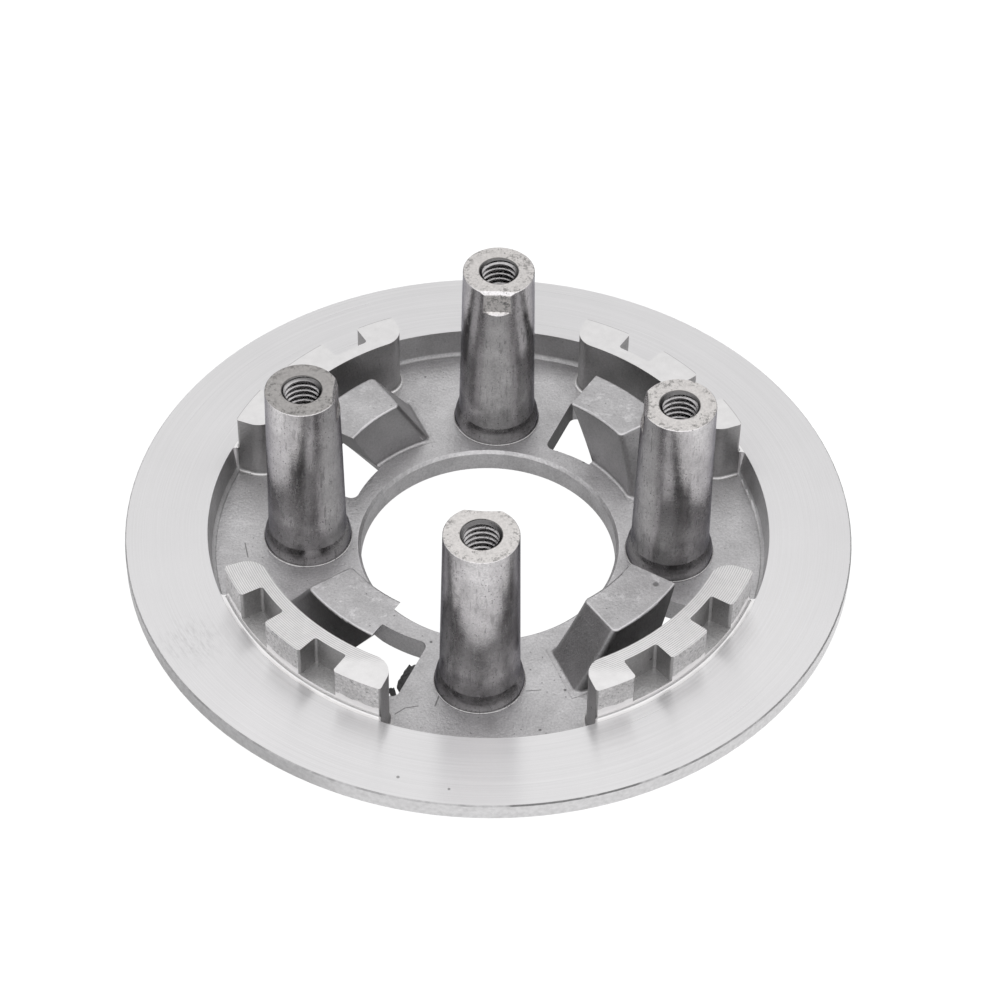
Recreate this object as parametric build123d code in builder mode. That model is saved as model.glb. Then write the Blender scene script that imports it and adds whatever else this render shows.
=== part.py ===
from build123d import *
import math
import os

# Clutch pressure plate, rear plate of a small wet multi-plate clutch with assist and slipper ramps.
# Millimetres. The axis of rotation is Z, and Z = 0 is the flat underside of the web.
# The real thing is one die casting, finish machined. It is divided here where its features
# meet, so that the flange, ring, web arms, posts, ramp cams and spline segments are solids
# of their own that sit face to face.

# friction flange
friction_face_width = 12.43
friction_face_height = 8.5
flange_thickness = 2.83
edge_break = 0.2
rim_wall = 3.93
rim_root_fillet = 1.2

# pocket inside the flange
pocket_step = 0.72
pocket_draft = 0.37
pocket_foot_fillet = 0.7

# web and bore
web_thickness = 3.9
bore_radius = 19.5
bore_top_chamfer = 0.45
bore_bottom_chamfer = 0.3
ring_width = 4.5

# spring posts
post_bore_offset = 8.1
post_top_height = 34.8
post_top_radius = 5.48
post_root_radius = 6.0
post_edge_break = 0.12
collar_radius = 6.55
collar_height = 1.0
collar_crown_height = 1.9
collar_crown_radius = 4.0
waist_fillet = 0.25
post_foot_fillet = 0.25

# tapped holes in the posts, M6 x 1
tap_drill_radius = 2.5
thread_major_radius = 3.0
thread_depth = 16.0
drill_point_angle = 118.0

# register turned on the inner side of all four posts, for the lifter plate
register_offset = 5.07
register_depth = 3.8
register_top_chamfer = 0.55

# ramp cams, angles from each cam's own diagonal, counter-clockwise from above
cam_top_height = 13.3
cam_top_start_angle = -7.8
cam_top_end_angle = 16.0
cam_web_start_angle = -19.6
cam_web_end_angle = 4.7
cam_bore_land = 4.4
cam_foot_width = 9.0
cam_inner_draft = 0.55
cam_outer_draft = 0.7
cam_corner_fillet = 0.9
cam_edge_fillet = 0.4
cam_foot_fillet = 0.5

# windows through the web, past the overhanging end of each cam
window_end_angle = 24.35
window_near_land = 0.8
window_far_land = 1.5
window_outer_land = 1.2
window_corner_fillet = 1.2

# spline segments, angles from the same diagonals
segment_rise = 6.1
segment_start_angle = -20.9
segment_end_angle = 26.0
cam_segment_gap = 3.45
segment_width = 5.5
segment_end_fillet = 3.2
notch_depth = 3.55
notch_floor_step = 0.9
first_notch_start_angle = -12.2
first_notch_end_angle = -3.45
second_notch_start_angle = 6.9
second_notch_end_angle = 15.4
notch_corner_fillet = 0.5
tooth_corner_fillet = 0.5
step_corner_radius = 0.4
segment_foot_fillet = 0.5
segment_wall_fillet = 0.8
wall_fillet_overlap = 0.1
segment_root_depth = 1.8
segment_root_fillet = 1.0

# cast foot fillets run out to this thickness on the web
fillet_lip = 0.05

# edges are picked by radius, angle or height to within this much
pick_slack = 0.02

post_angles = {"front": -90.0, "right": 0.0, "back": 90.0, "left": 180.0}
diagonal_angles = {"front_left": -135.0, "front_right": -45.0, "back_right": 45.0, "back_left": 135.0}

# radii from the bore outwards
ring_outer_radius = bore_radius + ring_width
post_circle_radius = bore_radius + post_bore_offset
register_radius = post_circle_radius - register_offset
cam_inner_foot_radius = bore_radius + cam_bore_land
cam_inner_top_radius = cam_inner_foot_radius + cam_inner_draft
cam_outer_foot_radius = cam_inner_foot_radius + cam_foot_width
cam_outer_top_radius = cam_outer_foot_radius - cam_outer_draft
window_near_radius = cam_inner_foot_radius - window_near_land
window_far_radius = cam_inner_foot_radius - window_far_land
window_outer_radius = cam_outer_foot_radius + window_outer_land
segment_inner_radius = cam_outer_foot_radius + cam_segment_gap
segment_outer_radius = segment_inner_radius + segment_width
notch_inner_radius = segment_outer_radius - notch_depth
pocket_mouth_radius = segment_outer_radius + pocket_step
pocket_foot_radius = pocket_mouth_radius - pocket_draft
rim_radius = pocket_mouth_radius + rim_wall
plate_radius = pocket_mouth_radius + friction_face_width
web_outer_radius = pocket_foot_radius - pocket_foot_fillet
flange_underside = friction_face_height - flange_thickness
segment_top_height = friction_face_height + segment_rise
notch_floor_height = friction_face_height + notch_floor_step
cam_rise = cam_top_height - web_thickness
cam_lip_width = cam_foot_fillet + 2 * fillet_lip
segment_lip_width = segment_foot_fillet + 2 * fillet_lip
inside_flange = pocket_mouth_radius + segment_root_depth
clearance_cut = 2.0
arm_half_angle = 45


def polar_point(radius, degrees):
    return (radius * math.cos(math.radians(degrees)), radius * math.sin(math.radians(degrees)))


def sector_face(inner, outer, start, end):
    """Flat ring sector between two radii and two angles."""
    with BuildSketch() as sector:
        with BuildLine():
            CenterArc((0, 0), outer, start, end - start)
            CenterArc((0, 0), inner, start, end - start)
            Line(polar_point(inner, start), polar_point(outer, start))
            Line(polar_point(inner, end), polar_point(outer, end))
        make_face()
    return sector.sketch


def cam_start_at(height):
    """Angle of the cam's driving ramp at a height."""
    slope = (cam_top_start_angle - cam_web_start_angle) / cam_rise
    return cam_web_start_angle + slope * (height - web_thickness)


def cam_end_at(height):
    """Angle of the cam's overhanging ramp at a height."""
    slope = (cam_top_end_angle - cam_web_end_angle) / cam_rise
    return cam_web_end_angle + slope * (height - web_thickness)


def post_radius_at(height):
    """Drafted radius of a spring post at a height."""
    share = (height - web_thickness) / (post_top_height - web_thickness)
    return post_root_radius + (post_top_radius - post_root_radius) * share


def radius_of(shape):
    """Distance of a vertex, or of the middle of an edge, from the plate's axis."""
    centre = shape @ 0.5 if isinstance(shape, Edge) else shape
    return math.hypot(centre.X, centre.Y)


def angle_of(edge):
    """Angle about the plate's axis of the middle of an edge."""
    centre = edge @ 0.5
    return math.degrees(math.atan2(centre.Y, centre.X))


def close_to(value, *wanted):
    """Whether a measured radius, angle or height is one of the wanted ones."""
    return any(abs(value - target) < pick_slack for target in wanted)


def edges_at(piece, height):
    """Edges of a piece that lie at one height."""
    return piece.edges().filter_by_position(Axis.Z, height - pick_slack, height + pick_slack)


def write_part(piece, name):
    piece.part.label = name
    export_step(piece.part, "parts/" + name + ".step")


os.makedirs("parts", exist_ok=True)

# friction flange: a turned section with the pocket wall, the thin plate and the rim below it
with BuildPart() as friction_flange:
    with BuildSketch(Plane.XZ) as flange_section:
        with BuildLine():
            foot = (web_outer_radius, web_thickness)
            lip = (web_outer_radius, web_thickness + fillet_lip)
            wall_foot = (pocket_foot_radius, web_thickness + fillet_lip + pocket_foot_fillet)
            RadiusArc(lip, wall_foot, -pocket_foot_fillet)
            Line(wall_foot, (pocket_mouth_radius, friction_face_height))
            Polyline(
                (pocket_mouth_radius, friction_face_height),
                (plate_radius, friction_face_height),
                (plate_radius, flange_underside),
                (rim_radius, flange_underside),
                (rim_radius, 0),
                (web_outer_radius, 0),
                lip,
            )
        make_face()
        chamfer(flange_section.vertices().group_by(Axis.X)[-1], edge_break)
        rim_root = flange_section.vertices().sort_by_distance((rim_radius, 0, flange_underside))[0]
        fillet(rim_root, rim_root_fillet)
    revolve(axis=Axis.Z)
write_part(friction_flange, "friction_flange")

# spaces that the rest of the casting keeps clear: the overhanging side of each cam decides
# where its window begins, so the window is cut from a sector and the cam's own slanted body
with BuildPart() as cam_ramp:
    low_inner = window_far_radius - clearance_cut
    low_outer = window_outer_radius + clearance_cut
    with BuildSketch(Plane.XY.offset(-clearance_cut)):
        add(sector_face(low_inner, low_outer, cam_start_at(-clearance_cut), cam_end_at(-clearance_cut)))
    with BuildSketch(Plane.XY.offset(cam_top_height)):
        add(sector_face(low_inner, low_outer, cam_top_start_angle, cam_top_end_angle))
    loft(ruled=True)

with BuildPart() as window_space:
    with BuildSketch(Plane.XY.offset(-clearance_cut)) as window_outline:
        near = polar_point(window_near_radius, cam_web_end_angle)
        far = polar_point(window_far_radius, window_end_angle)
        middle_radius = (window_near_radius + window_far_radius) / 2
        middle = polar_point(middle_radius, (cam_web_end_angle + window_end_angle) / 2)
        cam_side = cam_web_start_angle / 2
        with BuildLine():
            ThreePointArc(near, middle, far)
            Line(far, polar_point(window_outer_radius, window_end_angle))
            CenterArc((0, 0), window_outer_radius, cam_side, window_end_angle - cam_side)
            Line(polar_point(window_outer_radius, cam_side), polar_point(window_near_radius, cam_side))
            CenterArc((0, 0), window_near_radius, cam_side, cam_web_end_angle - cam_side)
        make_face()
        corners = [far, polar_point(window_outer_radius, window_end_angle)]
        for corner in corners:
            corner_vertex = window_outline.vertices().sort_by_distance((*corner, -clearance_cut))[0]
            fillet(corner_vertex, window_corner_fillet)
    extrude(amount=web_thickness + 2 * clearance_cut)
    add(cam_ramp.part, mode=Mode.SUBTRACT)

# ramp cam: a slanted block with drafted curved walls, standing on the web
with BuildPart() as cam_blank:
    add(cam_ramp.part)
    with BuildSketch(Plane.XZ) as cam_walls:
        with BuildLine():
            Polyline(
                (cam_inner_foot_radius, web_thickness),
                (cam_outer_foot_radius, web_thickness),
                (cam_outer_top_radius, cam_top_height),
                (cam_inner_top_radius, cam_top_height),
                close=True,
            )
        make_face()
    revolve(axis=Axis.Z, mode=Mode.INTERSECT)
    leading_edges = []
    for edge in cam_blank.edges():
        if edge.bounding_box().size.Z > cam_rise / 2 and angle_of(edge) < cam_web_end_angle:
            leading_edges.append(edge)
    fillet(leading_edges, cam_corner_fillet)
    top_edges = []
    for edge in cam_blank.faces().sort_by(Axis.Z)[-1].edges():
        if not close_to(angle_of(edge), cam_top_end_angle):
            top_edges.append(edge)
    fillet(top_edges, cam_edge_fillet)
    cam_lip_turn = math.degrees(cam_lip_width / cam_inner_foot_radius)
    with BuildSketch(Plane.XY.offset(web_thickness)):
        lip_inner = cam_inner_foot_radius - cam_lip_width
        lip_outer = cam_outer_foot_radius + cam_lip_width
        add(sector_face(lip_inner, lip_outer, cam_web_start_angle - cam_lip_turn, cam_web_end_angle))
    extrude(amount=fillet_lip)
    foot_edges = []
    for edge in edges_at(cam_blank, web_thickness + fillet_lip):
        on_wall = cam_inner_foot_radius - fillet_lip < radius_of(edge) < cam_outer_foot_radius + fillet_lip
        if on_wall and edge.geom_type != GeomType.LINE:
            foot_edges.append(edge)
    fillet(foot_edges, cam_foot_fillet)

# spring post: a drafted round post with a low collar and a tapped hole, and the register on its inner side
with BuildPart() as post_blank:
    post_plane = Plane(origin=(post_circle_radius, 0, 0), x_dir=(1, 0, 0), z_dir=(0, -1, 0))
    post_axis = Axis((post_circle_radius, 0, 0), (0, 0, 1))
    collar_top = web_thickness + collar_height
    crown_top = collar_top + collar_crown_height
    with BuildSketch(post_plane) as post_section:
        with BuildLine():
            post_lip = (collar_radius + post_foot_fillet, web_thickness + fillet_lip)
            collar_foot = (collar_radius, web_thickness + fillet_lip + post_foot_fillet)
            crown_foot = (collar_radius, collar_top)
            crown_end = (post_radius_at(crown_top), crown_top)
            RadiusArc(post_lip, collar_foot, post_foot_fillet)
            Line(collar_foot, crown_foot)
            RadiusArc(crown_foot, crown_end, -collar_crown_radius)
            Polyline(
                crown_end,
                (post_top_radius, post_top_height),
                (0, post_top_height),
                (0, web_thickness),
                (collar_radius + post_foot_fillet, web_thickness),
                post_lip,
            )
        make_face()
    revolve(axis=post_axis)
    chamfer(post_blank.faces().sort_by(Axis.Z)[-1].edges(), post_edge_break)
    waist = edges_at(post_blank, crown_top)
    fillet(waist, waist_fillet)
    with BuildSketch(post_plane) as tapped_hole:
        with BuildLine():
            drill_tip = tap_drill_radius / math.tan(math.radians(drill_point_angle / 2))
            Polyline(
                (0, post_top_height),
                (thread_major_radius, post_top_height),
                (tap_drill_radius, post_top_height - (thread_major_radius - tap_drill_radius)),
                (tap_drill_radius, post_top_height - thread_depth),
                (0, post_top_height - thread_depth - drill_tip),
                close=True,
            )
        make_face()
    revolve(axis=post_axis, mode=Mode.SUBTRACT)
    with BuildSketch(Plane.XZ) as register:
        with BuildLine():
            register_bottom = post_top_height - register_depth
            cut_inner = post_circle_radius - post_root_radius - clearance_cut
            Polyline(
                (register_radius, register_bottom),
                (register_radius, post_top_height - register_top_chamfer),
                (register_radius + register_top_chamfer, post_top_height),
                (register_radius + register_top_chamfer, post_top_height + clearance_cut),
                (cut_inner, post_top_height + clearance_cut),
                (cut_inner, register_bottom - (register_radius - cut_inner)),
                close=True,
            )
        make_face()
    revolve(axis=Axis.Z, mode=Mode.SUBTRACT)

# spline segment: an arc-shaped rib with two notches, faced and turned on its top and outer side
with BuildPart() as segment_blank:
    with BuildSketch(Plane.XZ.rotated((0, 0, segment_start_angle))):
        with BuildLine():
            step_foot = (segment_outer_radius + step_corner_radius, friction_face_height)
            step_top = (segment_outer_radius, friction_face_height + step_corner_radius)
            Polyline(
                step_foot,
                (inside_flange, friction_face_height),
                (inside_flange, web_thickness),
                (segment_inner_radius, web_thickness),
                (segment_inner_radius, segment_top_height),
                (segment_outer_radius, segment_top_height),
                step_top,
            )
            RadiusArc(step_top, step_foot, -step_corner_radius)
        make_face()
    revolve(axis=Axis.Z, revolution_arc=segment_end_angle - segment_start_angle)
    first_notch = (first_notch_start_angle, first_notch_end_angle)
    second_notch = (second_notch_start_angle, second_notch_end_angle)
    for notch_start, notch_end in (first_notch, second_notch):
        with BuildSketch(Plane.XY.offset(notch_floor_height)) as notch:
            add(sector_face(notch_inner_radius, plate_radius, notch_start, notch_end))
            fillet(notch.vertices().sort_by(radius_of)[:2], notch_corner_fillet)
        extrude(amount=segment_top_height - notch_floor_height, mode=Mode.SUBTRACT)
    corner_fillets = {segment_inner_radius: segment_end_fillet, inside_flange: segment_root_fillet}
    for corner_radius, corner_fillet in corner_fillets.items():
        corner_edges = []
        for edge in segment_blank.edges().filter_by(Axis.Z):
            at_end = close_to(angle_of(edge), segment_start_angle, segment_end_angle)
            if at_end and close_to(radius_of(edge), corner_radius):
                corner_edges.append(edge)
        fillet(corner_edges, corner_fillet)
    tooth_edges = []
    for edge in segment_blank.edges().filter_by(Axis.Z):
        if close_to(radius_of(edge), segment_outer_radius) and edge.center().Z > notch_floor_height:
            tooth_edges.append(edge)
    fillet(tooth_edges, tooth_corner_fillet)
    segment_lip_turn = math.degrees(segment_lip_width / segment_inner_radius)
    with BuildSketch(Plane.XY.offset(web_thickness)) as segment_lip:
        lip_inner = segment_inner_radius - segment_lip_width
        lip_outer = inside_flange + segment_lip_width
        lip_start = segment_start_angle - segment_lip_turn
        lip_end = segment_end_angle + segment_lip_turn
        add(sector_face(lip_inner, lip_outer, lip_start, lip_end))
        fillet(segment_lip.vertices().sort_by(radius_of)[:2], segment_end_fillet + segment_lip_width)
        fillet(segment_lip.vertices().sort_by(radius_of)[-2:], segment_root_fillet + segment_lip_width)
    extrude(amount=fillet_lip)
    foot_edges = []
    for edge in edges_at(segment_blank, web_thickness + fillet_lip):
        if edge.geom_type == GeomType.LINE:
            on_wall = close_to(angle_of(edge), segment_start_angle, segment_end_angle)
        else:
            wall_radii = [*corner_fillets.keys(), *corner_fillets.values()]
            on_wall = close_to(edge.radius, *wall_radii)
        if on_wall:
            foot_edges.append(edge)
    fillet(foot_edges, segment_foot_fillet)
    for end_angle, side in [(segment_start_angle, -1), (segment_end_angle, 1)]:
        with BuildSketch(Plane.XY.offset(web_thickness).rotated((0, 0, end_angle))):
            with Locations((pocket_mouth_radius, 0)):
                Rectangle(2 * segment_wall_fillet, 2 * segment_wall_fillet)
            flare_radius = pocket_mouth_radius + wall_fillet_overlap - segment_wall_fillet
            with Locations((flare_radius, side * segment_wall_fillet)):
                Circle(segment_wall_fillet, mode=Mode.SUBTRACT)
        extrude(amount=friction_face_height - web_thickness)
    add(friction_flange.part, mode=Mode.SUBTRACT)

# the flat web between the bore ring and the flange, one arm for each post
with BuildPart() as arm_blank:
    window_middle = (cam_web_end_angle + window_end_angle) / 2
    arm_start = window_middle - arm_half_angle
    arm_end = window_middle + arm_half_angle
    with BuildSketch():
        add(sector_face(ring_outer_radius, web_outer_radius, arm_start, arm_end))
    extrude(amount=web_thickness)
    add(window_space.part, rotation=(0, 0, -arm_half_angle), mode=Mode.SUBTRACT)
    add(window_space.part, rotation=(0, 0, arm_half_angle), mode=Mode.SUBTRACT)

with BuildPart() as bore_ring:
    with BuildSketch():
        Circle(ring_outer_radius)
        Circle(bore_radius, mode=Mode.SUBTRACT)
    extrude(amount=web_thickness)
    chamfer(edges_at(bore_ring, web_thickness).sort_by(SortBy.LENGTH)[0], bore_top_chamfer)
    chamfer(edges_at(bore_ring, 0).sort_by(SortBy.LENGTH)[0], bore_bottom_chamfer)
    for diagonal in diagonal_angles.values():
        add(window_space.part, rotation=(0, 0, diagonal), mode=Mode.SUBTRACT)
write_part(bore_ring, "bore_ring")

for place, angle in post_angles.items():
    with BuildPart() as web_arm:
        add(arm_blank.part, rotation=(0, 0, angle))
    write_part(web_arm, "web_arm_" + place)
    with BuildPart() as spring_post:
        add(post_blank.part, rotation=(0, 0, angle))
    write_part(spring_post, "spring_post_" + place)

for place, diagonal in diagonal_angles.items():
    with BuildPart() as ramp_cam:
        add(cam_blank.part, rotation=(0, 0, diagonal))
    write_part(ramp_cam, "ramp_cam_" + place)
    with BuildPart() as spline_segment:
        add(segment_blank.part, rotation=(0, 0, diagonal))
    write_part(spline_segment, "spline_segment_" + place)
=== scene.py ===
import math

import bmesh
import bpy
from mathutils import Matrix, Vector


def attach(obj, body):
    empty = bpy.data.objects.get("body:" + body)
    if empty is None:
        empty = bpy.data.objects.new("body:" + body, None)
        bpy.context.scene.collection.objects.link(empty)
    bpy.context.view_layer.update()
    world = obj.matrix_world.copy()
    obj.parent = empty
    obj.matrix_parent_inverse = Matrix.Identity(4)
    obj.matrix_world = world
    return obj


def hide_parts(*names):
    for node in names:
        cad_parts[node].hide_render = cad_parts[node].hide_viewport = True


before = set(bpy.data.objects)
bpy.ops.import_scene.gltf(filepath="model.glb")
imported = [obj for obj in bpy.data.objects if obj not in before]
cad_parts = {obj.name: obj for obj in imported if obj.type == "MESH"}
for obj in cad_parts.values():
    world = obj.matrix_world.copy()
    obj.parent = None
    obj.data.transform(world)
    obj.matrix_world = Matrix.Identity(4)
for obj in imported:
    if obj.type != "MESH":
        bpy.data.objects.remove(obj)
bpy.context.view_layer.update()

# The viewpoint of the picture: a long lens about half a metre away, looking down at the plate from the front.
# It stands a little to the right of the plate's middle line and leans by about a degree.
camera_azimuth = math.radians(1.782)
camera_elevation = math.radians(45.972)
camera_roll = math.radians(1.031)
camera_distance = 0.48047
camera_right = 0.001713
camera_up = 0.003290
friction_face_height = 0.0085
lens_length = 113.94
nearest_seen = 0.05
farthest_seen = 20

back = Vector((
    math.sin(camera_azimuth) * math.cos(camera_elevation),
    -math.cos(camera_azimuth) * math.cos(camera_elevation),
    math.sin(camera_elevation),
))
level_right = Vector((math.cos(camera_azimuth), math.sin(camera_azimuth), 0))
level_up = back.cross(level_right)
right = math.cos(camera_roll) * level_right + math.sin(camera_roll) * level_up
up = -math.sin(camera_roll) * level_right + math.cos(camera_roll) * level_up
camera = bpy.data.objects.new("camera", bpy.data.cameras.new("camera"))
bpy.context.scene.collection.objects.link(camera)
camera.matrix_world = Matrix((right, up, back)).transposed().to_4x4()
camera.location = back * camera_distance + right * camera_right + up * camera_up
camera.location.z += friction_face_height
camera.data.lens = lens_length
camera.data.clip_start = nearest_seen
camera.data.clip_end = farthest_seen
bpy.context.scene.camera = camera
bpy.context.scene.view_settings.view_transform = "Standard"

# The friction flange: the outer ring of the casting, its face, its edge and the rim below turned on a lathe.
# The tool left fine lines round the axis. Only the pocket's wall inside it keeps the die's dull skin.
millimetres = 1000
black = (0, 0, 0, 1)
flange_tint = (1, 0.99, 1, 1)
pocket_wall_radius = 42.55
edge_radius = 54.75
bevel_radius = 54.6
turned_tone = 0.88
turned_edge_tone = 0.70
pocket_wall_tone = 0.55
turned_roughness = 0.30
skin_roughness = 0.5
turned_anisotropy = 0.95
across_the_lines = 0.25
fine_pitch = 0.22
coarse_pitch = 0.9
coarse_share = 0.3
line_contrast = 0.20
line_depth = 0.016
stain_place = (-42.1, -26.7)
stain_radius = 7.0
stain_strength = 0.16
nick_spots = (((-10.45, -50.34), 0.32), ((-3.16, -52.11), 0.26))
nick_strength = 0.55
grime_strength = 0.25
grime_strength_in_front = 0.60


class Value:
    """A shader socket that takes part in Python sums."""

    def __init__(self, nodes, socket):
        self.nodes = nodes
        self.socket = socket

    def reckon(self, operation, *numbers):
        node = self.nodes.node("ShaderNodeMath", {"operation": operation}, dict(enumerate(numbers)))
        return Value(self.nodes, node.outputs[0])

    def __add__(self, other):
        return self.reckon("ADD", self, other)

    def __radd__(self, other):
        return self.reckon("ADD", other, self)

    def __sub__(self, other):
        return self.reckon("SUBTRACT", self, other)

    def __rsub__(self, other):
        return self.reckon("SUBTRACT", other, self)

    def __mul__(self, other):
        return self.reckon("MULTIPLY", self, other)

    def __rmul__(self, other):
        return self.reckon("MULTIPLY", other, self)

    def __truediv__(self, other):
        return self.reckon("DIVIDE", self, other)

    def __pow__(self, other):
        return self.reckon("POWER", self, other)

    def size(self):
        return self.reckon("ABSOLUTE", self)

    def at_least(self, low):
        return self.reckon("MAXIMUM", self, low)

    def at_most(self, high):
        return self.reckon("MINIMUM", self, high)


class Nodes:
    """A tree of shader nodes, which all come from one method."""

    def __init__(self, tree):
        self.tree = tree

    def node(self, kind, settings=None, sockets=None):
        node = self.tree.nodes.new(kind)
        for name, setting in (settings or {}).items():
            setattr(node, name, setting)
        self.feed(node, sockets or {})
        return node

    def feed(self, node, sockets):
        """Give a node's sockets their values or links."""
        for name, value in sockets.items():
            value = value.socket if isinstance(value, Value) else value
            if isinstance(value, bpy.types.NodeSocket):
                self.tree.links.new(value, node.inputs[name])
            else:
                node.inputs[name].default_value = value

    def split(self, vector):
        node = self.node("ShaderNodeSeparateXYZ", None, {0: vector})
        return [Value(self, socket) for socket in node.outputs]

    def join(self, x, y, z):
        return self.node("ShaderNodeCombineXYZ", None, {0: x, 1: y, 2: z}).outputs[0]

    def step(self, value, low, high):
        """0 below low, 1 above high and smooth between them; the other way round where low is the higher."""
        sockets = {0: value, 1: low, 2: high}
        node = self.node("ShaderNodeMapRange", {"interpolation_type": "SMOOTHSTEP"}, sockets)
        return Value(self, node.outputs[0])

    def mix(self, factor, first, second):
        sockets = {0: factor, 6: first, 7: second}
        return self.node("ShaderNodeMix", {"data_type": "RGBA", "blend_type": "MIX"}, sockets).outputs[2]

    def mix_shaders(self, factor, first, second):
        """The first shader where the factor is 0 and the second where it is 1."""
        sockets = {0: factor, 1: first.outputs[0], 2: second.outputs[0]}
        return self.node("ShaderNodeMixShader", None, sockets)

    def choose(self, factor, first, second):
        """The first number where the factor is 0 and the second where it is 1."""
        return factor * (second - first) + first


class Finish(Nodes):
    """A metal finish: its nodes, its place on the plate in millimetres, and the patterns drawn on it."""

    def __init__(self, name):
        self.material = bpy.data.materials.new(name)
        self.material.use_nodes = True
        super().__init__(self.material.node_tree)
        place = self.node("ShaderNodeTexCoord").outputs["Object"]
        sockets = {"Vector": place, "Scale": millimetres}
        self.place = self.node("ShaderNodeVectorMath", {"operation": "SCALE"}, sockets).outputs[0]
        self.x, self.y, self.z = self.split(self.place)
        self.radius = (self.x * self.x + self.y * self.y) ** 0.5
        self.turn = self.y.reckon("ARCTAN2", self.y, self.x)
        normal = self.node("ShaderNodeNewGeometry").outputs["Normal"]
        self.slope_x, self.slope_y, self.upward = self.split(normal)

    def noise(self, size, detail=2.0, place=None, roughness=0.5):
        """Cloudy noise round 0, its lumps about as many millimetres across as its size."""
        sockets = {
            "Vector": self.place if place is None else place,
            "Scale": 1 / size, "Detail": detail, "Roughness": roughness,
        }
        return Value(self, self.node("ShaderNodeTexNoise", None, sockets).outputs["Fac"]) - 0.5

    def pits(self, spacing, radius, share):
        """Small round pits: 1 in each pit, on this share of the cells of a lattice."""
        sockets = {"Vector": self.place, "Scale": 1 / spacing}
        node = self.node("ShaderNodeTexVoronoi", None, sockets)
        chance = self.split(node.outputs["Color"])[0]
        inside = self.step(Value(self, node.outputs["Distance"]), radius / spacing, radius / spacing / 2)
        return inside * self.step(chance, share + 0.01, share)

    def away_from(self, place):
        """The level distance from a place."""
        across, along = self.x - place[0], self.y - place[1]
        return (across * across + along * along) ** 0.5

    def spot(self, place, radius):
        return self.step(self.away_from(place), radius, radius / 2)

    def scratch(self, start, end, width):
        """1 on a straight scratch between two places."""
        length_x, length_y = end[0] - start[0], end[1] - start[1]
        share = (self.x - start[0]) * length_x + (self.y - start[1]) * length_y
        share = (share / (length_x ** 2 + length_y ** 2)).at_most(1.0).at_least(0.0)
        across = self.x - start[0] - share * length_x
        along = self.y - start[1] - share * length_y
        return self.step((across * across + along * along) ** 0.5, width, width / 2)

    def bump(self, height, depth, before=None):
        """A bump of this depth in millimetres, laid over another bump if there is one."""
        sockets = {"Height": height, "Distance": depth / millimetres}
        if before is not None:
            sockets["Normal"] = before
        return self.node("ShaderNodeBump", None, sockets).outputs[0]

    def metal(self, tone, tint, sockets):
        """Bare metal of this tone and tint, with these other sockets of the shader."""
        shader = self.tree.nodes["Principled BSDF"]
        self.feed(shader, {"Base Color": self.mix(tone, black, tint), "Metallic": 1.0})
        self.feed(shader, sockets)

    def dress(self, piece):
        piece.data.materials.clear()
        piece.data.materials.append(self.material)


def turned_lines(finish, pitch):
    """Uneven lines that a lathe tool leaves round the axis, as a number round 0."""
    stretched = finish.join(finish.radius, finish.turn * 0.35, finish.z * 0.4)
    return finish.noise(pitch, detail=2.0, place=stretched, roughness=0.7)


def cast_skin(finish, tone):
    """The die's dull skin: a mottled grey with small dark pits and marks, with a painted highlight along its
    fillets.
    """
    cloud = finish.noise(5.0, detail=3.0)
    grain = finish.noise(0.32, detail=3.0, roughness=0.7)
    pits = finish.pits(spacing=0.9, radius=0.13, share=0.22)
    marks = finish.pits(spacing=4.0, radius=0.28, share=0.22)
    fillet_highlight = finish.step(finish.upward, 0.3, 0.6) * finish.step(finish.upward, 0.985, 0.95)
    return tone * (1 + 0.6 * cloud + 0.7 * grain) * (1 - 0.4 * pits) * (1 - 0.5 * marks) * (1 + 0.45 * fillet_highlight)


def cast_relief(finish, share=1.0):
    """The unevenness and the pits of the die's skin as a bump, on this share of the surface."""
    relief = finish.bump(finish.noise(0.45, detail=3.0, roughness=0.65) * share, 0.07)
    return finish.bump((1 - finish.pits(spacing=0.9, radius=0.13, share=0.22)) * share, 0.04, before=relief)


flange_finish = Finish("turned_flange")
lines = turned_lines(flange_finish, fine_pitch) + coarse_share * turned_lines(flange_finish, coarse_pitch)
face_tone = turned_tone * (1 + line_contrast * lines + 0.08 * flange_finish.noise(14, detail=2.0))
edge_tone = turned_edge_tone * (1 + 0.5 * flange_finish.noise(0.7, detail=3.0))
edge_band = flange_finish.step(flange_finish.radius, edge_radius, edge_radius + 0.1)
turned = flange_finish.choose(edge_band, face_tone, edge_tone)
# A smeared stain at the left, two nicks in front, and grime in the bevel, most of it in front.
stain = flange_finish.step(flange_finish.away_from(stain_place), stain_radius, 1.0)
smeared = flange_finish.join(flange_finish.radius * 2.0, flange_finish.turn * 30, flange_finish.z)
smear = flange_finish.noise(1.2, detail=4.0, place=smeared, roughness=0.7)
stain = stain * flange_finish.step(smear, -0.1, 0.2)
marked = stain_strength * stain
for nick_place, nick_radius in nick_spots:
    marked = marked + nick_strength * flange_finish.spot(nick_place, nick_radius)
turned = turned * (1 - marked * flange_finish.step(flange_finish.upward, 0.5, 0.7))
bevel = flange_finish.step(flange_finish.radius, bevel_radius, bevel_radius + 0.1)
bevel = bevel * flange_finish.step(flange_finish.upward, 0.2, 0.5)
bevel = bevel * flange_finish.step(flange_finish.upward, 0.98, 0.9)
patchy = flange_finish.noise(5.0, detail=3.0) + 0.002 * flange_finish.x
grime = bevel * flange_finish.step(patchy, -0.08, 0.05)
in_front = flange_finish.step(flange_finish.x, -8, 2) * flange_finish.step(flange_finish.x, 40, 25)
turned = turned * (1 - grime * flange_finish.choose(in_front, grime_strength, grime_strength_in_front))
pocket_wall = flange_finish.step(flange_finish.radius, pocket_wall_radius + 0.07, pocket_wall_radius)
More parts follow.
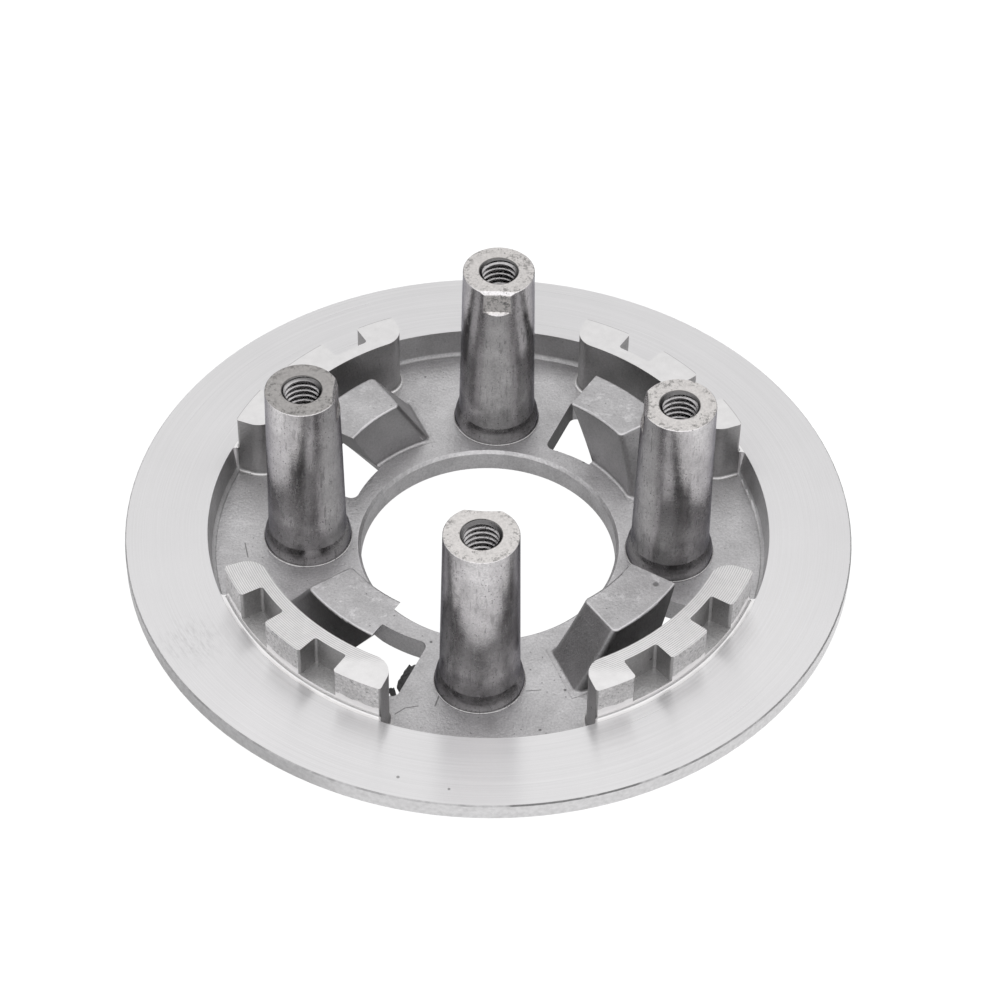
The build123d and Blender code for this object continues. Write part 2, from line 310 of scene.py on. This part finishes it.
tone = flange_finish.choose(pocket_wall, turned, cast_skin(flange_finish, pocket_wall_tone))
flange_finish.metal(tone, flange_tint, {
    "Roughness": flange_finish.choose(pocket_wall, turned_roughness + 0.1 * lines, skin_roughness),
    "Anisotropic": turned_anisotropy,
    "Anisotropic Rotation": across_the_lines,
    "Normal": flange_finish.bump(lines, line_depth),
})
flange_finish.dress(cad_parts["friction_flange"])

# The web: a flat ring round the bore and four arms, cast thin and left with the die's skin.
# Only the bore and the small bevel at its mouth are machined.
places = ("front", "right", "back", "left")
skin_tint = (1, 0.985, 1, 1)
bore_radius = 19.5
web_tone = 0.635
web_wall_lit_tone = 0.78
bore_tone = 0.72
web_roughness = 0.42
bore_roughness = 0.35
mark_strength = 0.6
shaded_strength = 0.67
web_scratches = (
    ((-6.25, -33.1), (-5.77, -31.16), 0.14),
    ((6.88, -29.51), (9.07, -29.19), 0.11),
    ((-11.96, -34.94), (-10.58, -33.72), 0.11),
    ((-10.58, -33.72), (-8.72, -33.24), 0.11),
    ((-37.09, -2.19), (-36.35, -5.07), 0.11),
    ((27.3, -35.6), (30.1, -34.2), 0.11),
)
web_specks = ((-7.56, -20.73), (9.19, -36.81), (12.58, -29.0), (9.19, 21.17), (10.16, 20.45), (14.15, 18.13))
web_speck_radius = 0.3

web_finish = Finish("cast_web")
# The walls get a lighter tone than the web's flat top: painted light.
wall = web_finish.step(web_finish.upward, 0.3, 0.1)
skin = cast_skin(web_finish, web_finish.choose(wall, web_tone, web_wall_lit_tone))
dark = 0.0
for start, end, width in web_scratches:
    dark = web_finish.scratch(start, end, width) + dark
for speck in web_specks:
    dark = web_finish.spot(speck, web_speck_radius) + dark
dark = dark.at_most(1.0) * web_finish.step(web_finish.upward, 0.3, 0.6)
# The end wall of the window at the back right turns away from the light and is darker than the others.
shaded = wall * web_finish.step(web_finish.slope_x, 0.4, 0.6) * web_finish.step(web_finish.y, 0, 5)
skin = skin * (1 - mark_strength * dark) * (1 - shaded_strength * shaded)
bore_wall = web_finish.step(web_finish.radius, bore_radius + 0.7, bore_radius + 0.3)
speckle = web_finish.noise(0.4, detail=4.0, roughness=0.75)
bored = bore_tone * (1 + 0.9 * speckle + 0.5 * web_finish.noise(3.0))
web_finish.metal(web_finish.choose(bore_wall, skin, bored), skin_tint, {
    "Roughness": web_finish.choose(bore_wall, web_roughness + 0.1 * web_finish.noise(1.2), bore_roughness),
    "Normal": cast_relief(web_finish),
})
web_finish.dress(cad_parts["bore_ring"])
for place in places:
    web_finish.dress(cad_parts["web_arm_" + place])

# The ramp cams: slanted blocks cast on the web, which lift the plate off the hub's own ramps.
# They keep the die's skin, with a painted highlight along the rounded edges of their tops.
corners = ("front_left", "front_right", "back_right", "back_left")
cam_top = 13.3
cam_tone = 0.585
cam_side_shade_share = 0.74
cam_outward_shade_loss = 0.25
edge_highlight_tone = 0.78
worn_gain = 0.22
cam_roughness = 0.42
cam_spot = (25.3, -15.9)
cam_spot_radius = 0.6
cam_spot_strength = 0.55

cam_finish = Finish("cast_cam")
# Painted shade: the sides are darker than the tops, and those that face away from the bore are darker still.
outward = (cam_finish.slope_x * cam_finish.x + cam_finish.slope_y * cam_finish.y) / cam_finish.radius
flat = cam_finish.step(cam_finish.upward, 0.97, 0.99)
skin = cast_skin(cam_finish, cam_tone) * (1 - cam_outward_shade_loss * cam_finish.step(outward, 0.3, 0.6))
skin = skin * cam_finish.choose(flat, cam_side_shade_share, 1.0)
worn = flat * cam_finish.step(cam_finish.noise(2.2, detail=4.0, roughness=0.65), 0.05, 0.14)
dark = flat * cam_finish.spot(cam_spot, cam_spot_radius)
skin = skin * (1 + worn_gain * worn) * (1 - cam_spot_strength * dark)
# A painted highlight on the rounded edges of the cam tops.
rounded = cam_finish.step(cam_finish.upward, 0.35, 0.7) * cam_finish.step(cam_finish.upward, 0.985, 0.95)
edge_highlight = rounded * cam_finish.step(cam_finish.z, cam_top - 0.6, cam_top - 0.35)
cam_finish.metal(cam_finish.choose(edge_highlight, skin, edge_highlight_tone), skin_tint, {
    "Roughness": cam_roughness + 0.1 * cam_finish.noise(1.2),
    "Normal": cast_relief(cam_finish),
})
for corner in corners:
    cam_finish.dress(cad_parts["ramp_cam_" + corner])

# The spline segments: arc-shaped ribs on the pocket's wall, with two notches each for the friction plates.
# Their tops are faced and their outer sides turned; the inner walls and the notches keep the die's skin.
segment_tint = (1, 0.988, 0.99, 1)
segment_top = 14.6
segment_outer = 41.85
turned_band_top = 10.3
facing_pitch = 0.33
facing_depth = 0.02
inner_wall_shaded_tone = 0.43
open_face_lit_tone = 0.67
faced_tone = 0.90
turned_band_tone = 0.98
facing_contrast = 0.28
far_edge_shade_strength = 0.4
segment_skin_roughness = 0.45
segment_faced_roughness = 0.32

segment_finish = Finish("faced_segment")
outer_side = segment_finish.step(segment_finish.radius, segment_outer - 0.06, segment_outer - 0.02)
flat = segment_finish.step(segment_finish.upward, 0.7, 0.9)
top_face = segment_finish.step(segment_finish.z, segment_top - 0.05, segment_top - 0.01)
ragged = turned_band_top + 1.2 * segment_finish.noise(2.5, detail=3.0)
turned_band = outer_side * segment_finish.step(segment_finish.z - ragged, 0.15, -0.15)
machined = top_face.at_least(turned_band)
open_face = outer_side.at_least(flat)
# The inner walls get a darker tone than the outer sides and the flat faces: painted shade.
skin = cast_skin(segment_finish, segment_finish.choose(open_face, inner_wall_shaded_tone, open_face_lit_tone))
coarse = segment_finish.noise(0.5, detail=4.0, roughness=0.75)
pores = segment_finish.step(coarse, -0.10, -0.16)
skin = skin * (1 + 1.3 * coarse * outer_side) * (1 - 0.55 * pores * outer_side)
# The facing tool's lines show on the front segments, and a thin dark line of painted shade along the far edge
# of the back ones.
groove = segment_finish.radius * (2 * math.pi / facing_pitch)
lined = segment_finish.step(groove.reckon("SINE", groove), 0.2, 0.95)
lined = lined * segment_finish.step(segment_finish.y, -35, -33) * segment_finish.step(segment_finish.y, 0, -6)
far_edge_shade = top_face * segment_finish.step(segment_finish.radius, segment_outer - 0.13, segment_outer - 0.07)
far_edge_shade = far_edge_shade * segment_finish.step(segment_finish.y, 0, 2)
faced = faced_tone * (1 - facing_contrast * lined) * (1 - far_edge_shade_strength * far_edge_shade)
faced = faced * (1 + 0.25 * segment_finish.noise(1.5, detail=4.0, roughness=0.7))
faced = segment_finish.choose(turned_band, faced, turned_band_tone)
segment_relief = cast_relief(segment_finish, 1 - machined)
segment_finish.metal(segment_finish.choose(machined, skin, faced), segment_tint, {
    "Roughness": segment_finish.choose(machined, segment_skin_roughness, segment_faced_roughness),
    "Normal": segment_finish.bump((1 - lined) * top_face, facing_depth, before=segment_relief),
})
for corner in corners:
    segment_finish.dress(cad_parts["spline_segment_" + corner])

# The spring posts: drafted round posts cast with the web, faced on top and tapped for the lifter's bolts.
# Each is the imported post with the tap's real thread cut into its drilled hole.
post_circle = 0.0276
post_top = 0.0348
thread_major = 0.003
thread_pitch = 0.001
thread_core = 0.0023
thread_crest = 0.0000625
thread_flank_angle = math.radians(30)
thread_turns = 12
thread_steps = 48
thread_start_height = 0.0012
merge_distance = 1e-6
sharp_angle = math.radians(33)
post_turns = {"front": -90, "right": 0, "back": 90, "left": 180}
thread_starts = {"front": 20, "right": 115, "back": 200, "left": 290}
flank_tint = (1, 0.975, 0.985, 1)
faced_tint = (1, 0.965, 0.945, 1)
grazing_tint = (0.42, 0.42, 0.45, 1)
flank_tone = 0.67
post_faced_tone = 0.80
thread_tone = 0.55
foot_shade_strength = 0.45
scuff_strength = 0.3
pore_strength = 0.6
fillet_highlight_gain = 0.4
register_gain = 0.2
stain_on_top_strength = 0.45
rim_strength = 0.45
dull_left_strength = 0.40
mouth_shade_strength = 0.65
flank_roughness = 0.20
faced_roughness = 0.34
register_radius = 22.6
register_bottom = 30.6
mouth_height = 34.1

post_finish = Finish("cast_post")
cloud = post_finish.noise(3.0, detail=3.0)
streaked = post_finish.join(post_finish.x * 2.2, post_finish.y * 2.2, post_finish.z * 0.4)
streaks = post_finish.noise(1.4, detail=4.0, place=streaked, roughness=0.6)
grain = post_finish.noise(0.35, detail=3.0, roughness=0.7)
pores = post_finish.pits(spacing=0.42, radius=0.12, share=0.35)
pores = pores * post_finish.step(cloud + 0.5 * grain, -0.06, 0.06)
scuffs = post_finish.step(streaks + 0.6 * grain, 0.06, 0.16)
top_height = post_top * millimetres
top_face = post_finish.step(post_finish.z, top_height - 0.08, top_height - 0.02)
register_cut = post_finish.step(post_finish.radius, register_radius + 0.02, register_radius - 0.04)
register_cut = register_cut * post_finish.step(post_finish.z, register_bottom, register_bottom + 0.3)
machined = top_face.at_least(register_cut)
# The larger and the smaller of x and y put all four holes in one place, so one distance serves them all.
far_side = post_finish.x.size().at_least(post_finish.y.size())
near_side = post_finish.x.size().at_most(post_finish.y.size())
from_hole = ((far_side - post_circle * millimetres) ** 2 + near_side * near_side) ** 0.5
# The feet of the posts are darker, as painted shade, and their tops have stains, mostly at the rim; the left
# one is dull.
foot_shade = post_finish.step(post_finish.z + 5 * cloud + 3 * streaks, 13, 8)
# A painted highlight along the fillets.
fillet_highlight = post_finish.step(post_finish.upward, 0.45, 0.7) * post_finish.step(post_finish.upward, 0.99, 0.96)
flank = flank_tone * (1 - foot_shade_strength * foot_shade) * (1 + 0.7 * cloud + 0.45 * streaks + 0.9 * grain)
flank = flank * (1 - scuff_strength * scuffs) * (1 - pore_strength * pores) * (1 + fillet_highlight_gain * fillet_highlight)
stain = post_finish.noise(0.55, detail=4.0, roughness=0.75) + 0.6 * post_finish.noise(4.0)
stain = post_finish.step(stain, 0.09, 0.17)
rim = post_finish.step(post_finish.noise(0.8, detail=4.0, roughness=0.75), 0.02, 0.10)
rim = rim * post_finish.step(from_hole, 3.9, 5.0)
dull_left = post_finish.step(post_finish.x, -20, -24)
faced = post_faced_tone * (1 - dull_left_strength * dull_left) * (1 + register_gain * register_cut)
faced = faced * (1 + 0.7 * grain) * (1 - stain_on_top_strength * stain) * (1 - rim_strength * rim)
# Painted shade: the thread is darker just under the mouth of the hole.
mouth_shade = post_finish.step(post_finish.z, mouth_height, mouth_height + 0.3)
thread = thread_tone * (1 - mouth_shade_strength * mouth_shade) * (1 + 0.8 * grain)
hole_radius = thread_major * millimetres
threaded = post_finish.step(from_hole, hole_radius + 0.12, hole_radius + 0.02)
tone = post_finish.choose(threaded, post_finish.choose(machined, flank, faced), thread)
post_relief = post_finish.bump((grain + 0.5 * cloud) * (1 - 0.7 * machined), 0.022)
flank_gloss = flank_roughness + 0.15 * cloud + 0.15 * scuffs
post_finish.metal(tone, post_finish.mix(machined, flank_tint, faced_tint), {
    "Specular Tint": grazing_tint,
    "Roughness": post_finish.choose(machined, flank_gloss, faced_roughness),
    "Normal": post_finish.bump((1 - pores) * (1 - machined), 0.03, before=post_relief),
})


def tap_cutter(centre, start_degrees):
    """The thread's groove as a solid coil, wound down the post's hole."""
    mesh = bmesh.new()
    base_half = thread_crest + (thread_major - thread_core) * math.tan(thread_flank_angle)
    outline = [
        (thread_core, base_half), (thread_core, -base_half),
        (thread_major, -thread_crest), (thread_major, thread_crest),
    ]
    start = math.radians(start_degrees)
    direction = Vector((math.cos(start), math.sin(start), 0))
    top = Vector((*centre, post_top + thread_start_height))
    points = [top + direction * radius + Vector((0, 0, height)) for radius, height in outline]
    end = mesh.faces.new([mesh.verts.new(point) for point in points])
    bmesh.ops.spin(
        mesh, geom=[end], cent=top, axis=(0, 0, 1), dvec=(0, 0, -thread_pitch / thread_steps),
        angle=2 * math.pi * thread_turns, steps=thread_steps * thread_turns, use_duplicate=False,
    )
    bmesh.ops.recalc_face_normals(mesh, faces=mesh.faces)
    cutter = bpy.data.meshes.new("tap_cutter")
    mesh.to_mesh(cutter)
    mesh.free()
    return bpy.data.objects.new("tap_cutter", cutter)


def tapped_post(place):
    """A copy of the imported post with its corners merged, its thread cut and its edges kept sharp."""
    shape = bmesh.new()
    shape.from_mesh(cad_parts["spring_post_" + place].data)
    bmesh.ops.remove_doubles(shape, verts=shape.verts, dist=merge_distance)
    body = bpy.data.meshes.new("tapped_post_" + place)
    shape.to_mesh(body)
    shape.free()
    post = bpy.data.objects.new("tapped_post_" + place, body)
    bpy.context.scene.collection.objects.link(post)
    turn = math.radians(post_turns[place])
    cutter = tap_cutter((post_circle * math.cos(turn), post_circle * math.sin(turn)), thread_starts[place])
    bpy.context.scene.collection.objects.link(cutter)
    cut = post.modifiers.new("tap", "BOOLEAN")
    cut.operation = "DIFFERENCE"
    cut.solver = "EXACT"
    cut.object = cutter
    tapped = bpy.data.meshes.new_from_object(post.evaluated_get(bpy.context.evaluated_depsgraph_get()))
    post.modifiers.clear()
    post.data = tapped
    bpy.data.objects.remove(cutter)
    shape = bmesh.new()
    shape.from_mesh(tapped)
    for face in shape.faces:
        face.smooth = True
    for edge in shape.edges:
        edge.smooth = edge.calc_face_angle(0) < sharp_angle
    shape.to_mesh(tapped)
    shape.free()
    return post


for place in places:
    post = tapped_post(place)
    post_finish.dress(post)
    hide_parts("spring_post_" + place)
    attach(post, "root")

# Casting flash: torn slivers of metal left along the edge of the front left window, where the die halves met.
# They are part of the casting, dark and rough, and as thin as a sheet of card.
flash_tint = (1, 0.98, 1, 1)
flash_tone = 0.09
flash_roughness = 0.5
flash_relief = 0.06
flash_top = 0.0031
flash_thickness = 0.0005
flash_outlines = {
    "long": (
        (-9.3, -24.5), (-9.86, -24.64), (-10.2, -24.95), (-10.55, -24.58), (-10.78, -25.1),
        (-10.94, -25.44), (-11.22, -25.9), (-11.39, -26.62), (-11.62, -26.95), (-11.73, -27.43),
        (-12.0, -27.9), (-12.04, -28.44), (-12.11, -28.93), (-11.91, -29.28), (-11.72, -29.7), (-11.0, -29.9),
    ),
    "corner": (
        (-11.9, -31.2), (-12.24, -29.9), (-12.38, -29.5), (-12.5, -29.16), (-12.7, -29.35),
        (-12.93, -29.25), (-13.2, -29.4), (-13.39, -29.31), (-13.29, -29.74), (-13.1, -30.0),
        (-12.96, -30.3), (-12.9, -31.4),
    ),
}

flash_finish = Finish("torn_flash")
grain = flash_finish.noise(0.4, detail=3.0, roughness=0.7)
flash_finish.metal(flash_tone * (1 + 1.6 * grain), flash_tint, {
    "Roughness": flash_roughness,
    "Normal": flash_finish.bump(grain, flash_relief),
})
for name, outline in flash_outlines.items():
    shape = bmesh.new()
    points = [shape.verts.new((x / millimetres, y / millimetres, flash_top)) for x, y in outline]
    sheet = shape.faces.new(points)
    below = bmesh.ops.extrude_face_region(shape, geom=[sheet])["geom"]
    for vertex in [item for item in below if isinstance(item, bmesh.types.BMVert)]:
        vertex.co.z -= flash_thickness
    bmesh.ops.recalc_face_normals(shape, faces=shape.faces)
    mesh = bpy.data.meshes.new("casting_flash_" + name)
    shape.to_mesh(mesh)
    shape.free()
    flash = bpy.data.objects.new("casting_flash_" + name, mesh)
    bpy.context.scene.collection.objects.link(flash)
    flash_finish.dress(flash)
    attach(flash, "root")

# The studio: a white table and one soft light overhead, as for a catalogue picture.
# The table shows white to the camera and in reflections, and keeps a faint shadow of the plate, with a
# painted shadow beneath the plate and at its front left.
# It is clear to whoever looks from below, so that the plate's underside can be seen.
white = (1, 1, 1, 1)
floor_size = 6
floor_gap = 0.00005
open_tone = (0.80, 0.80, 0.80, 1)
shaded_tone = (0.50, 0.50, 0.50, 1)
seen_share = 0.88
mirrored_share = 0.8
mirrored_share_beneath = 0.15
glow_strength = 1.15
plate_shade_middle = (-7, 3)
plate_shade_radius = 48
open_radius = 66
corner_shadow_middle = (-44, -42)
corner_shadow_radius = 16
corner_shadow_reach = 30
corner_shadow_strength = 0.95
light_direction = (0.0, -0.05, 0.9987)
light_gain = 1.85
lowest_light = 0.1
highest_light = 1.02

floor_finish = Finish("white_table")
path = floor_finish.node("ShaderNodeLightPath")
seen = Value(floor_finish, path.outputs["Is Camera Ray"])
mirrored = Value(floor_finish, path.outputs["Is Glossy Ray"])
mirrored = mirrored.at_least(Value(floor_finish, path.outputs["Is Transmission Ray"]))
# Painted shadow: beneath the plate the table has a darker tone and shows less white in reflections.
lit = floor_finish.step(floor_finish.away_from(plate_shade_middle), plate_shade_radius, open_radius)
shaded_table = floor_finish.node("ShaderNodeBsdfDiffuse", None, {"Color": shaded_tone})
open_table = floor_finish.node("ShaderNodeBsdfDiffuse", None, {"Color": open_tone})
matt = floor_finish.mix_shaders(lit, shaded_table, open_table)
glow = floor_finish.node("ShaderNodeEmission", None, {"Color": white, "Strength": glow_strength})
# A painted shadow at the plate's front left, seen in reflections.
corner_shadow = floor_finish.away_from(corner_shadow_middle)
corner_shadow = floor_finish.step(corner_shadow, corner_shadow_reach, corner_shadow_radius)
mirrored_lit = lit * (1 - corner_shadow_strength * corner_shadow)
mirrored_white = mirrored_share * floor_finish.choose(mirrored_lit, mirrored_share_beneath, 1.0)
share = seen_share * seen + mirrored * mirrored_white
table = floor_finish.mix_shaders(share, matt, glow)
# A ray that has come up through the table goes on as if there were none.
from_below = Value(floor_finish, floor_finish.node("ShaderNodeNewGeometry").outputs["Backfacing"])
passed = Value(floor_finish, path.outputs["Transparent Depth"])
from_below = from_below.at_least(passed.at_most(1.0))
table = floor_finish.mix_shaders(from_below, table, floor_finish.node("ShaderNodeBsdfTransparent"))
floor_finish.feed(floor_finish.tree.nodes["Material Output"], {"Surface": table.outputs[0]})
shape = bmesh.new()
lowered = Matrix.Translation((0, 0, -floor_gap))
bmesh.ops.create_grid(shape, x_segments=1, y_segments=1, size=floor_size / 2, matrix=lowered)
mesh = bpy.data.meshes.new("floor")
shape.to_mesh(mesh)
shape.free()
floor = bpy.data.objects.new("floor", mesh)
bpy.context.scene.collection.objects.link(floor)
floor_finish.dress(floor)

world = bpy.data.worlds.new("studio")
world.use_nodes = True
sky = Nodes(world.node_tree)
direction = sky.node("ShaderNodeTexCoord").outputs["Generated"]
height = sky.node("ShaderNodeVectorMath", {"operation": "DOT_PRODUCT"}, {0: direction, 1: light_direction})
height = Value(sky, height.outputs["Value"])
light = (light_gain * height * height + lowest_light).at_most(highest_light)
background_seen = Value(sky, sky.node("ShaderNodeLightPath").outputs["Is Camera Ray"])
sky.feed(world.node_tree.nodes["Background"], {"Color": white, "Strength": light.at_least(background_seen)})
bpy.context.scene.world = world
